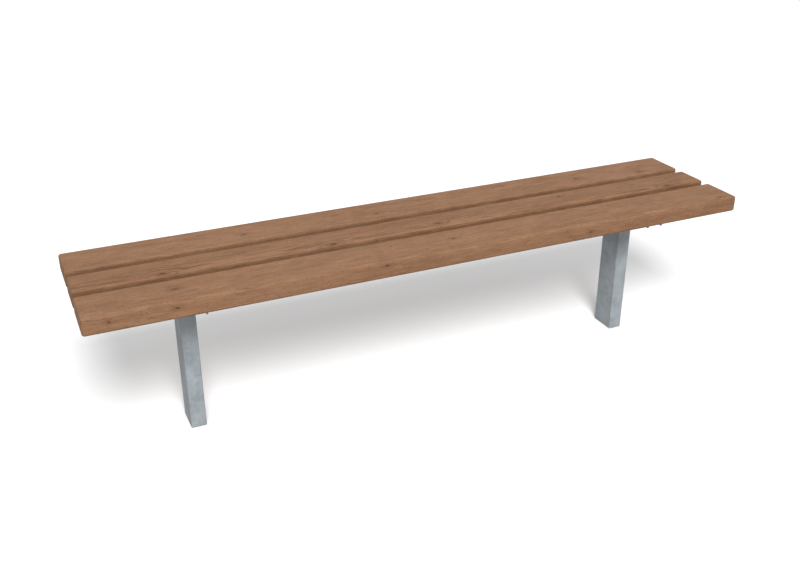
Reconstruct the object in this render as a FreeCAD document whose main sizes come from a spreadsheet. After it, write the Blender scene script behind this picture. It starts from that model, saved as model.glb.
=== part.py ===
import FreeCAD, Part
import math
import os
import Sketcher

# Backless street bench. Three timber planks lie across two folded steel bearers. Each bearer is a
# shallow channel, open downwards, welded over the top of a rectangular tube post. Hexagon wood
# screws with washers come up through the bearers into the planks. The post fills the channel under
# the middle plank, so that plank is screwed to angle cleats welded outside the channel.
#
# Millimetres. X runs along the planks, Y from front to back, Z up. The origin is on the ground
# under the middle of the seat. "Left" is the -X end.

# Driving dimensions: name, value, meaning. Every other size and place is worked out from these.
DIMENSIONS = (
    ("bench_length", 1800, "length of every plank"),
    ("seat_height", 440, "ground to the top of the planks"),
    ("plank_thickness", 45, "planed thickness of every plank"),
    ("outer_plank_width", 120, "width of the front and back planks"),
    ("middle_plank_width", 95, "width of the middle plank"),
    ("plank_gap", 23.5, "open slot between neighbouring planks"),
    ("plank_round", 7, "rounded arris on every plank edge"),
    ("post_spacing", 1285, "centre to centre of the two posts"),
    ("post_width", 40, "tube size along X"),
    ("post_depth", 80, "tube size along Y"),
    ("post_wall", 3, "tube wall"),
    ("post_corner", 4, "outer corner radius of the tube"),
    ("steel_sheet", 4, "thickness of the folded steel"),
    ("bend_inside", 2, "inside radius of every fold"),
    ("post_clearance", 0.5, "play between the post and each flange"),
    ("weld_land", 0.5, "how far the post's top bevel passes the fold"),
    ("flange_drop", 15, "outside depth of the channel"),
    ("flange_tip", 2, "corner radius at the ends of the flanges"),
    ("bearer_inset", 25, "seat edge to the end of a bearer"),
    ("vent_bore", 14, "vent for the zinc bath, over the post's hollow"),
    ("cleat_length", 50, "cleat size along Y"),
    ("cleat_reach", 34, "how far a cleat stands out from the flange"),
    ("cleat_corner", 5, "corner radius of the cleat's free edge"),
    ("cleat_screw_offset", 18, "flange to the cleat's screw"),
    ("screw_pitch", 40, "between the two screws under an outer plank"),
    ("screw_hole", 9, "hole in the steel for a screw"),
    ("screw_cover", 10.6, "timber left above a screw's point"),
    ("shank_size", 8, "screw diameter"),
    ("shank_play", 0.2, "plank bore over the screw diameter"),
    ("bore_spare", 1, "plank bore beyond the screw's point"),
    ("point_length", 6, "tapered end of a screw"),
    ("point_flat", 1.6, "diameter at the very end of a screw"),
    ("head_flats", 13, "across the flats of a screw head"),
    ("head_height", 5.3, "screw head height"),
    ("washer_outer", 16, "washer outside diameter"),
    ("washer_inner", 8.4, "washer hole"),
    ("washer_thickness", 1.6, "washer thickness"),
)

# Sizes worked out from the driving ones, as expressions for the sheet.
UNDERSIDE = "(Sizes.seat_height - Sizes.plank_thickness)"
OUTER_PLANK_Y = "(Sizes.middle_plank_width / 2 + Sizes.plank_gap + Sizes.outer_plank_width / 2)"
SEAT_DEPTH = "(Sizes.middle_plank_width + 2 * Sizes.plank_gap + 2 * Sizes.outer_plank_width)"
BEARER_LENGTH = f"({SEAT_DEPTH} - 2 * Sizes.bearer_inset)"
CHANNEL_INSIDE = "(Sizes.post_width + 2 * Sizes.post_clearance)"
CHANNEL_OUTSIDE = f"({CHANNEL_INSIDE} + 2 * Sizes.steel_sheet)"
FOLD_DEPTH = "(Sizes.flange_drop - Sizes.steel_sheet)"
POST_X = "(Sizes.post_spacing / 2)"
CLEAT_SCREW_X = f"({CHANNEL_OUTSIDE} / 2 + Sizes.cleat_screw_offset)"
SCREW_BITE = "(Sizes.plank_thickness - Sizes.screw_cover)"

# The two ends of the bench: name, sign of X, and the turn about Z that faces the nearer end.
SIDES = (("left", "-1", 180), ("right", "1", 0))

# The three planks: name, width, and the place of its middle along Y.
PLANKS = (
    ("front", "Sizes.outer_plank_width", f"-{OUTER_PLANK_Y}"),
    ("middle", "Sizes.middle_plank_width", "0"),
    ("back", "Sizes.outer_plank_width", OUTER_PLANK_Y),
)

# Screws under each plank at each post, as places from the plank's middle over the post's middle.
OUTER_PLANK_SCREWS = (("0", "-Sizes.screw_pitch / 2"), ("0", "Sizes.screw_pitch / 2"))
MIDDLE_PLANK_SCREWS = ((f"-{CLEAT_SCREW_X}", "0"), (CLEAT_SCREW_X, "0"))
SCREW_PLACES = {
    "front": OUTER_PLANK_SCREWS,
    "middle": MIDDLE_PLANK_SCREWS,
    "back": OUTER_PLANK_SCREWS,
}

X_AXIS = FreeCAD.Vector(1, 0, 0)
Y_AXIS = FreeCAD.Vector(0, 1, 0)
Z_AXIS = FreeCAD.Vector(0, 0, 1)
SAME_PLACE = 0.001
HEAD_CHAMFER_SLOPE = math.tan(math.radians(30))
HEAD_CHAMFER_SHARE = 0.95
HEX_TURN_STEP = 23

doc = FreeCAD.newDocument("backless_bench")
sheet = doc.addObject("Spreadsheet::Sheet", "Sizes")
for row, (alias, value, meaning) in enumerate(DIMENSIONS, start=1):
    sheet.set(f"A{row}", meaning)
    sheet.set(f"B{row}", str(value))
    sheet.setAlias(f"B{row}", alias)
doc.recompute()

nodes = []


def size(alias):
    """Return one driving dimension from the sheet, as a number."""
    return float(sheet.get(alias))


def bind(target, **expressions):
    """Tie properties of an object to the sheet; a double underscore stands for a dot."""
    for name, expression in expressions.items():
        target.setExpression(name.replace("__", "."), expression)


def set_place(target, x="0", y="0", z="0", turn=0):
    """Place a sub-part by expressions, turned about Z by some degrees."""
    target.Placement = FreeCAD.Placement(FreeCAD.Vector(), FreeCAD.Rotation(Z_AXIS, turn))
    bind(target, Placement__Base__x=x, Placement__Base__y=y, Placement__Base__z=z)


def new_body(label, **place):
    """Start a sub-part as a PartDesign body with its own label and place."""
    body = doc.addObject("PartDesign::Body", label)
    body.Label = label
    set_place(body, **place)
    nodes.append(body)
    return body


def new_sketch(body, name, raised="0", shifted="0"):
    """Start a sketch parallel to the body's XY plane, raised along Z and shifted along X."""
    plane = next(item for item in body.Origin.OriginFeatures if item.Role == "XY_Plane")
    sketch = body.newObject("Sketcher::SketchObject", f"{body.Label}_{name}")
    sketch.AttachmentSupport = [(plane, "")]
    sketch.MapMode = "FlatFace"
    bind(sketch, AttachmentOffset__Base__x=shifted, AttachmentOffset__Base__z=raised)
    return sketch


def constrain(sketch, expression, *constraint):
    """Add a driving constraint to a sketch and tie its value to the sheet."""
    index = sketch.addConstraint(Sketcher.Constraint(*constraint))
    sketch.setExpression(f"Constraints[{index}]", expression)


def draw_rectangle(sketch, along_x, along_y):
    """Draw a rectangle centred on the sketch's origin."""
    corners = [FreeCAD.Vector(x, y, 0) for x, y in ((-1, -1), (1, -1), (1, 1), (-1, 1))]
    for index in range(4):
        sketch.addGeometry(Part.LineSegment(corners[index], corners[(index + 1) % 4]), False)
    for index in range(4):
        sketch.addConstraint(Sketcher.Constraint("Coincident", index, 2, (index + 1) % 4, 1))
        direction = ("Horizontal", "Vertical")[index % 2]
        sketch.addConstraint(Sketcher.Constraint(direction, index))
    sketch.addConstraint(Sketcher.Constraint("Symmetric", 0, 1, 2, 1, -1, 1))
    constrain(sketch, along_x, "DistanceX", 0, 1, 0, 2, 2)
    constrain(sketch, along_y, "DistanceY", 1, 1, 1, 2, 2)


def draw_circle(sketch, x, y, diameter):
    """Draw a circle at a place given by expressions."""
    circle = sketch.addGeometry(Part.Circle(FreeCAD.Vector(), Z_AXIS, 1), False)
    constrain(sketch, x, "DistanceX", -1, 1, circle, 3, 1)
    constrain(sketch, y, "DistanceY", -1, 1, circle, 3, 1)
    constrain(sketch, diameter, "Diameter", circle, 2)


def add_pad(body, sketch, length, downwards=False):
    """Raise a solid from a sketch, upwards unless told otherwise."""
    pad = body.newObject("PartDesign::Pad", f"{body.Label}_pad")
    pad.Profile = sketch
    pad.Reversed = downwards
    bind(pad, Length=length)
    doc.recompute()
    return pad


def add_pocket(body, sketch, depth):
    """Cut a sketch upwards into the body by a depth, and see that it did cut."""
    before = body.Shape.Volume
    pocket = body.newObject("PartDesign::Pocket", f"{sketch.Label}_pocket")
    pocket.Profile = sketch
    pocket.Reversed = True
    bind(pocket, Length=depth)
    doc.recompute()
    check_cut(body, before)
    return pocket


def add_holes(body, sketch, diameter, depth=None):
    """Drill upwards at every circle of a sketch: blind to a depth, or right through."""
    before = body.Shape.Volume
    hole = body.newObject("PartDesign::Hole", f"{sketch.Label}_drilling")
    hole.Profile = sketch
    doc.recompute()
    hole.Reversed = True
    hole.DepthType = "ThroughAll"
    if depth:
        hole.DepthType = "Dimension"
        hole.DrillPoint = "Angled"
        bind(hole, Depth=depth)
    bind(hole, Diameter=diameter)
    doc.recompute()
    check_cut(body, before)
    return hole


def check_cut(body, volume_before):
    """Stop if the last feature took nothing away."""
    if body.Shape.Volume >= volume_before:
        raise RuntimeError(f"the last cut in {body.Label} removed nothing")


def edge_names(feature, wanted):
    """Return the names of a feature's edges that pass a test."""
    edges = enumerate(feature.Shape.Edges, start=1)
    return [f"Edge{number}" for number, edge in edges if wanted(edge)]


def runs_along(edge, axis):
    """Say whether an edge is straight and parallel to an axis."""
    if edge.Curve.TypeId != "Part::GeomLine":
        return False
    return abs(edge.tangentAt(edge.FirstParameter).dot(axis)) > 1 - SAME_PLACE


def is_at(value, target):
    """Say whether two lengths are the same."""
    return abs(value - target) < SAME_PLACE


def round_edges(body, base, name, radius, wanted):
    """Round the edges of a feature that pass a test."""
    fillet = body.newObject("PartDesign::Fillet", f"{body.Label}_{name}")
    fillet.Base = (base, edge_names(base, wanted))
    bind(fillet, Radius=radius)
    doc.recompute()
    return fillet


def make_plank(name, width, y):
    """A planed plank, rounded on every edge, with blind bores underneath for its screws."""
    body = new_body(f"{name}_plank", y=y, z=UNDERSIDE)
    outline = new_sketch(body, "outline")
    draw_rectangle(outline, "Sizes.bench_length", width)
    board = add_pad(body, outline, "Sizes.plank_thickness")
    round_edges(body, board, "arris", "Sizes.plank_round", lambda edge: True)
    bores = new_sketch(body, "bores")
    bore_size = "Sizes.shank_size + Sizes.shank_play"
    for _, sign, _ in SIDES:
        for x, y_from_middle in SCREW_PLACES[name]:
            draw_circle(bores, f"{sign} * {POST_X} + {x}", y_from_middle, bore_size)
    add_holes(body, bores, bore_size, f"{SCREW_BITE} + Sizes.bore_spare")


def make_post(side, sign):
    """A rectangular tube, open at the ground, its top bevelled to clear the channel's folds."""
    body = new_body(f"{side}_post", x=f"{sign} * {POST_X}")
    outline = new_sketch(body, "outline")
    draw_rectangle(outline, "Sizes.post_width", "Sizes.post_depth")
    height = f"{UNDERSIDE} - Sizes.steel_sheet"
    column = add_pad(body, outline, height)
    round_edges(body, column, "corners", "Sizes.post_corner", lambda edge: runs_along(edge, Z_AXIS))
    hollow = new_sketch(body, "hollow")
    inside_width = "Sizes.post_width - 2 * Sizes.post_wall"
    inside_depth = "Sizes.post_depth - 2 * Sizes.post_wall"
    draw_rectangle(hollow, inside_width, inside_depth)
    tube = add_pocket(body, hollow, height)
    inside_x = size("post_width") / 2 - size("post_wall")
    inside_y = size("post_depth") / 2 - size("post_wall")
    tube = round_edges(
        body,
        tube,
        "inside_corners",
        "Sizes.post_corner - Sizes.post_wall",
        lambda edge: runs_along(edge, Z_AXIS)
        and is_at(abs(edge.CenterOfMass.x), inside_x)
        and is_at(abs(edge.CenterOfMass.y), inside_y),
    )
    rim = max(tube.Shape.Faces, key=lambda face: face.CenterOfMass.z).OuterWire.Edges
    bevel = body.newObject("PartDesign::Chamfer", f"{body.Label}_bevel")
    bevel.Base = (tube, edge_names(tube, lambda edge: any(edge.isSame(item) for item in rim)))
    bind(bevel, Size="Sizes.bend_inside + Sizes.weld_land")
    doc.recompute()


def make_bearer(side, sign):
    """A folded channel, open downwards: web against the planks, a flange each side of the post."""
    body = new_body(f"{side}_bearer", x=f"{sign} * {POST_X}", z=UNDERSIDE)
    outline = new_sketch(body, "outline")
    draw_rectangle(outline, CHANNEL_OUTSIDE, BEARER_LENGTH)
    block = add_pad(body, outline, "Sizes.flange_drop", downwards=True)
    inside = new_sketch(body, "inside", raised="-Sizes.flange_drop")
    draw_rectangle(inside, CHANNEL_INSIDE, f"{BEARER_LENGTH} + 2 * Sizes.steel_sheet")
    channel = add_pocket(body, inside, FOLD_DEPTH)
    channel = round_edges(
        body,
        channel,
        "outside_folds",
        "Sizes.bend_inside + Sizes.steel_sheet",
        lambda edge: runs_along(edge, Y_AXIS) and is_at(edge.CenterOfMass.z, 0),
    )
    channel = round_edges(
        body,
        channel,
        "inside_folds",
        "Sizes.bend_inside",
        lambda edge: runs_along(edge, Y_AXIS) and is_at(edge.CenterOfMass.z, -size("steel_sheet")),
    )
    round_edges(
        body,
        channel,
        "flange_tips",
        "Sizes.flange_tip",
        lambda edge: runs_along(edge, X_AXIS) and is_at(edge.CenterOfMass.z, -size("flange_drop")),
    )
    screw_holes = new_sketch(body, "screw_holes", raised="-Sizes.flange_drop")
    for name, _, y in PLANKS[::2]:
        for x, y_from_middle in SCREW_PLACES[name]:
            draw_circle(screw_holes, x, f"{y} + {y_from_middle}", "Sizes.screw_hole")
    add_holes(body, screw_holes, "Sizes.screw_hole")
    vent = new_sketch(body, "vent", raised="-Sizes.flange_drop")
    draw_circle(vent, "0", "0", "Sizes.vent_bore")
    add_holes(body, vent, "Sizes.vent_bore")


def make_cleat(side, sign, facing, turn):
    """A folded angle: one leg down the outside of a flange, the other out under the plank."""
    away = "1" if turn == 0 else "-1"
    middle = f"{away} * ({CHANNEL_OUTSIDE} / 2 + Sizes.cleat_reach / 2)"
    body = new_body(
        f"{side}_{facing}_cleat", x=f"{sign} * {POST_X} + {middle}", z=UNDERSIDE, turn=turn
    )
    outline = new_sketch(body, "outline")
    draw_rectangle(outline, "Sizes.cleat_reach", "Sizes.cleat_length")
    block = add_pad(body, outline, "Sizes.flange_drop", downwards=True)
    inside = new_sketch(
        body, "inside", raised="-Sizes.flange_drop", shifted="Sizes.steel_sheet"
    )
    draw_rectangle(inside, "Sizes.cleat_reach", "Sizes.cleat_length + 2 * Sizes.steel_sheet")
    angle = add_pocket(body, inside, FOLD_DEPTH)
    flange_x = -size("cleat_reach") / 2
    angle = round_edges(
        body,
        angle,
        "outside_fold",
        "Sizes.bend_inside + Sizes.steel_sheet",
        lambda edge: runs_along(edge, Y_AXIS)
        and is_at(edge.CenterOfMass.z, 0)
        and is_at(edge.CenterOfMass.x, flange_x),
    )
    angle = round_edges(
        body,
        angle,
        "inside_fold",
        "Sizes.bend_inside",
        lambda edge: runs_along(edge, Y_AXIS)
        and is_at(edge.CenterOfMass.z, -size("steel_sheet"))
        and is_at(edge.CenterOfMass.x, flange_x + size("steel_sheet")),
    )
    round_edges(
        body,
        angle,
        "corners",
        "Sizes.cleat_corner",
        lambda edge: runs_along(edge, Z_AXIS) and is_at(edge.CenterOfMass.x, -flange_x),
    )
    screw_hole = new_sketch(body, "screw_hole", raised="-Sizes.flange_drop")
    hole_x = "Sizes.cleat_screw_offset - Sizes.cleat_reach / 2"
    draw_circle(screw_hole, hole_x, "0", "Sizes.screw_hole")
    add_holes(body, screw_hole, "Sizes.screw_hole")


def new_solid(kind, name, **expressions):
    """Add a Part primitive with its sizes tied to the sheet."""
    solid = doc.addObject(kind, name)
    bind(solid, **expressions)
    return solid


def make_washer(label, x, y):
    """A plain round washer against the underside of the steel."""
    disc = new_solid(
        "Part::Cylinder",
        f"{label}_disc",
        Radius="Sizes.washer_outer / 2",
        Height="Sizes.washer_thickness",
    )
    hole = new_solid(
        "Part::Cylinder",
        f"{label}_hole",
        Radius="Sizes.washer_inner / 2",
        Height="Sizes.washer_thickness",
    )
    washer = doc.addObject("Part::Cut", label)
    washer.Label = label
    washer.Base = disc
    washer.Tool = hole
    bearing = f"{UNDERSIDE} - Sizes.steel_sheet"
    set_place(washer, x=x, y=y, z=f"{bearing} - Sizes.washer_thickness")
    nodes.append(washer)


def make_screw(label, x, y, turn):
    """A hexagon-head wood screw, head down: chamfered head, plain shank and tapered point."""
    hexagon = new_solid(
        "Part::Prism",
        f"{label}_hexagon",
        Circumradius="Sizes.head_flats / 2 / cos(30 deg)",
        Height="Sizes.head_height",
        Placement__Base__z="-Sizes.head_height",
    )
    hexagon.Polygon = 6
    rim = f"Sizes.head_flats / 2 * {HEAD_CHAMFER_SHARE}"
    turned = new_solid(
        "Part::Cone",
        f"{label}_turned",
        Radius1=rim,
        Radius2=f"{rim} + Sizes.head_height / {HEAD_CHAMFER_SLOPE}",
        Height="Sizes.head_height",
        Placement__Base__z="-Sizes.head_height",
    )
    head = doc.addObject("Part::MultiCommon", f"{label}_head")
    head.Shapes = [hexagon, turned]
    through_steel = "(Sizes.washer_thickness + Sizes.steel_sheet)"
    straight = f"{through_steel} + {SCREW_BITE} - Sizes.point_length"
    shank = new_solid(
        "Part::Cylinder", f"{label}_shank", Radius="Sizes.shank_size / 2", Height=straight
    )
    point = new_solid(
        "Part::Cone",
        f"{label}_point",
        Radius1="Sizes.shank_size / 2",
        Radius2="Sizes.point_flat / 2",
        Height="Sizes.point_length",
        Placement__Base__z=straight,
    )
    screw = doc.addObject("Part::MultiFuse", label)
    screw.Label = label
    screw.Shapes = [head, shank, point]
    set_place(screw, x=x, y=y, z=f"{UNDERSIDE} - {through_steel}", turn=turn)
    nodes.append(screw)


def make_fasteners():
    """Two screws and washers under every plank at each post, the heads left at uneven turns."""
    count = 0
    for side, sign, _ in SIDES:
        for name, _, plank_y in PLANKS:
            for number, (x, y) in enumerate(SCREW_PLACES[name], start=1):
                screw_x = f"{sign} * {POST_X} + {x}"
                screw_y = f"{plank_y} + {y}"
                make_washer(f"{side}_{name}_washer_{number}", screw_x, screw_y)
                make_screw(f"{side}_{name}_screw_{number}", screw_x, screw_y, count * HEX_TURN_STEP)
                count += 1


def check_model():
    """Stop if any object failed, or if a sub-part isn't one valid solid."""
    for item in doc.Objects:
        if "Invalid" in item.State or "Error" in item.State:
            raise RuntimeError(f"{item.Label} failed to recompute")
    for node in nodes:
        if node.Shape.isNull() or not node.Shape.isValid():
            raise RuntimeError(f"{node.Label} has no valid shape")
        if len(node.Shape.Solids) != 1:
            raise RuntimeError(f"{node.Label} isn't a single solid")


for plank_name, plank_width, plank_place in PLANKS:
    make_plank(plank_name, plank_width, plank_place)
for side_name, side_sign, outward_turn in SIDES:
    make_post(side_name, side_sign)
    make_bearer(side_name, side_sign)
    make_cleat(side_name, side_sign, "outer", outward_turn)
    make_cleat(side_name, side_sign, "inner", 180 - outward_turn)
make_fasteners()
doc.recompute()
check_model()

os.makedirs("parts", exist_ok=True)
for node in nodes:
    node.Shape.exportStep(f"parts/{node.Label}.step")
    print(f"{node.Label}: {node.Shape.Volume / 1000:.1f} cm3")
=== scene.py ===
import sys
import logging
import math
from dataclasses import dataclass
from enum import Enum
from typing import ClassVar, Sequence

import bmesh
import bpy
import numpy as np
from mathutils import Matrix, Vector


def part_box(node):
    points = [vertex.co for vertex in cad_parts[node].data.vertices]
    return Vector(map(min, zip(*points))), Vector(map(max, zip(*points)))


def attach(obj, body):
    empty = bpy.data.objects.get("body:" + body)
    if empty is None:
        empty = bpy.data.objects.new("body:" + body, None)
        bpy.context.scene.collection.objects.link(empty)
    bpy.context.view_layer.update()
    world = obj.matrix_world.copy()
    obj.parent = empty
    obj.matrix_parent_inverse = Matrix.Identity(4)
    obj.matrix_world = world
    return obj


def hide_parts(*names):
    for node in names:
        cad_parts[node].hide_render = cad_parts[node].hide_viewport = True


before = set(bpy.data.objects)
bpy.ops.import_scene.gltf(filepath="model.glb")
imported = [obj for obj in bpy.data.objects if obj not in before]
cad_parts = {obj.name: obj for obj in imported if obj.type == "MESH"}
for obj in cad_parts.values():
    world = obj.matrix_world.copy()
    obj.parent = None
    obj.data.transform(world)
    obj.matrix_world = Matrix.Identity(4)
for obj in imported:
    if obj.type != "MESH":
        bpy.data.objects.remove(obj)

# A backless street bench: three stained timber planks on galvanised steel posts and bearers.
# Metres. X runs along the planks, Y from front to back, Z up, with the ground at zero.

LOG = logging.getLogger("bench")
ROOT_BODY = "root"
SIDES = ("left", "right")
PLANK_NAMES = ("front", "middle", "back")
MILLIMETRE = 0.001
MERGE_DISTANCE = 0.002 * MILLIMETRE
QUARTER_TURN = math.pi / 2
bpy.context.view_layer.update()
Colour = tuple[float, float, float]
Point = tuple[float, float, float]
Patch = tuple[np.ndarray, np.ndarray]
Socket = bpy.types.NodeSocket


class Slot(Enum):
    """The record's material slots."""

    TIMBER = "stained_timber"
    STEEL = "galvanised_steel"
    FASTENER = "zinc_fastener"


class Across(Enum):
    """Which pair of a plank's faces a branch ran between, and so where its knot shows."""

    TOP_AND_BOTTOM = "Z"
    FRONT_AND_BACK = "Y"


# ---------------------------------------------------------------------------------------------
# Numbers on grids
# ---------------------------------------------------------------------------------------------


def lattice_value(cells: np.ndarray, seed: int) -> np.ndarray:
    """A fixed pseudo-random value for each whole-number cell.

    The three cell numbers are multiplied by large odd numbers, added, and mixed by shifts.

    Args:
        cells: whole numbers, shape (..., 3).
        seed: picks one field out of many.

    Returns:
        Values from 0 to 1, shape (...).
    """
    factors = np.array([73856093, 19349663, 83492791], np.int64)
    mixed = (cells.astype(np.int64) * factors).sum(-1) + seed * 2654435761
    mixed = (mixed ^ (mixed >> 13)) * 1274126177
    mixed = mixed ^ (mixed >> 16)
    return (mixed & 0xFFFFF) / float(0xFFFFF)


def smooth_noise(points: np.ndarray, seed: int) -> np.ndarray:
    """Smooth noise: the values at a cell's eight corners, blended by a cubic ease.

    Args:
        points: places in cells, shape (..., 3).
        seed: picks one field out of many.

    Returns:
        Values from 0 to 1, shape (...).
    """
    cell = np.floor(points)
    part = points - cell
    ease = part * part * (3.0 - 2.0 * part)
    total = np.zeros(points.shape[:-1])
    for corner in np.ndindex(2, 2, 2):
        weight = np.prod(np.where(np.array(corner) == 1, ease, 1.0 - ease), axis=-1)
        total += weight * lattice_value(cell + np.array(corner), seed)
    return total


def spaced(breaks: Sequence[float], spacing: float) -> np.ndarray:
    """Places that include every break, with each gap split evenly.

    Args:
        breaks: places that must be included, in any order.
        spacing: the longest step allowed between two places.

    Returns:
        The places, rising.
    """
    ends = np.unique(np.round(breaks, 6))
    parts = []
    for start, end in zip(ends, ends[1:]):
        count = max(1, round((end - start) / spacing + 0.5))
        parts.append(np.linspace(start, end, count + 1)[:-1])
    return np.concatenate([*parts, np.array(ends[-1:])])


def round_edge(radius: float, steps: int) -> tuple[np.ndarray, np.ndarray]:
    """A quarter circle from one face to the next.

    Args:
        radius: the edge's radius.
        steps: segments along the quarter circle.

    Returns:
        Distances inwards from the second face, and distances inwards from the first face. The first
        falls from the radius to nothing as one less the sine, and the second rises as one less the
        cosine.
    """
    turn = np.linspace(0.0, QUARTER_TURN, steps + 1)
    return radius * (1.0 - np.sin(turn)), radius * (1.0 - np.cos(turn))


def border(block: np.ndarray) -> np.ndarray:
    """The outer points of a grid, once each, in order round it."""
    return np.concatenate([block[:-1, 0], block[-1, :-1], block[:0:-1, -1], block[0, :0:-1]])


def grid_faces(rows: int, columns: int, close_rows: bool, close_columns: bool) -> np.ndarray:
    """Four-cornered faces that join neighbouring points of a grid.

    Args:
        rows: rows in the grid.
        columns: points in each row.
        close_rows: join the last row to the first.
        close_columns: join each row's last point to its first.

    Returns:
        Corner numbers, shape (faces, 4).
    """
    row = np.arange(rows if close_rows else rows - 1)[:, None]
    column = np.arange(columns if close_columns else columns - 1)[None, :]
    next_row = (row + 1) % rows
    next_column = (column + 1) % columns
    corners = (
        row * columns + column,
        row * columns + next_column,
        next_row * columns + next_column,
        next_row * columns + column,
    )
    return np.stack([np.broadcast_to(item, corners[0].shape) for item in corners], -1).reshape(-1, 4)


def loft(rings: np.ndarray, close_rows: bool = False) -> Patch:
    """Join rings of points, each a closed loop, into one patch of surface.

    Args:
        rings: points, shape (rings, points in a ring, 3).
        close_rows: join the last ring to the first.

    Returns:
        Points (n, 3) and faces (m, 4).
    """
    rows, columns = rings.shape[:2]
    return rings.reshape(-1, 3), grid_faces(rows, columns, close_rows, True)


@dataclass(frozen=True)
class RoundedRectangle:
    """A rectangle with round corners, as a closed loop that can be shrunk inwards.

    Attributes:
        half_width: half its size along its first axis.
        half_height: half its size along its second axis.
        corner: the corner radius.
        width_steps: segments along each side of the first axis.
        height_steps: segments along each side of the second axis.
        corner_steps: segments round each corner.
    """

    half_width: float
    half_height: float
    corner: float
    width_steps: int
    height_steps: int
    corner_steps: int = 6

    def loop(self, inset: np.ndarray) -> tuple[np.ndarray, np.ndarray]:
        """Return the loop at each inset, and its outward direction.

        Each corner is a quarter circle whose radius is the corner radius less the inset, down to
        nothing. Each side joins the ends of two corners by a straight line.

        Args:
            inset: how far each loop lies inside the outline, shape (rows,).

        Returns:
            Points and unit outward directions, both of shape (rows, loop points, 2).
        """
        inset = inset[:, None]
        radius = np.maximum(self.corner - inset, 0.0)
        centre = np.stack([self.half_width - inset - radius, self.half_height - inset - radius], -1)
        signs = np.array([(1, 1), (-1, 1), (-1, -1), (1, -1)])
        points, outward = [], []
        for quarter in range(4):
            angle = np.linspace(quarter, quarter + 1, self.corner_steps + 1) * QUARTER_TURN
            facing = np.stack([np.cos(angle), np.sin(angle)], -1)
            arc = signs[quarter] * centre + radius[..., None] * facing
            following = signs[(quarter + 1) % 4] * centre + radius[..., None] * facing[-1]
            side_steps = self.width_steps if quarter % 2 == 0 else self.height_steps
            share = np.linspace(0.0, 1.0, side_steps + 1)[1:-1, None]
            side = arc[:, -1:] + (following - arc[:, -1:]) * share
            points += [arc, side]
            outward += [np.broadcast_to(facing, arc.shape), np.broadcast_to(facing[-1], side.shape)]
        return np.concatenate(points, 1), np.concatenate(outward, 1)


@dataclass(frozen=True)
class Hole:
    """A round hole in a blank.

    Attributes:
        run: its middle along the direction that gets folded.
        along: its middle along the fold lines.
        radius: its radius.
    """

    run: float
    along: float
    radius: float


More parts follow.
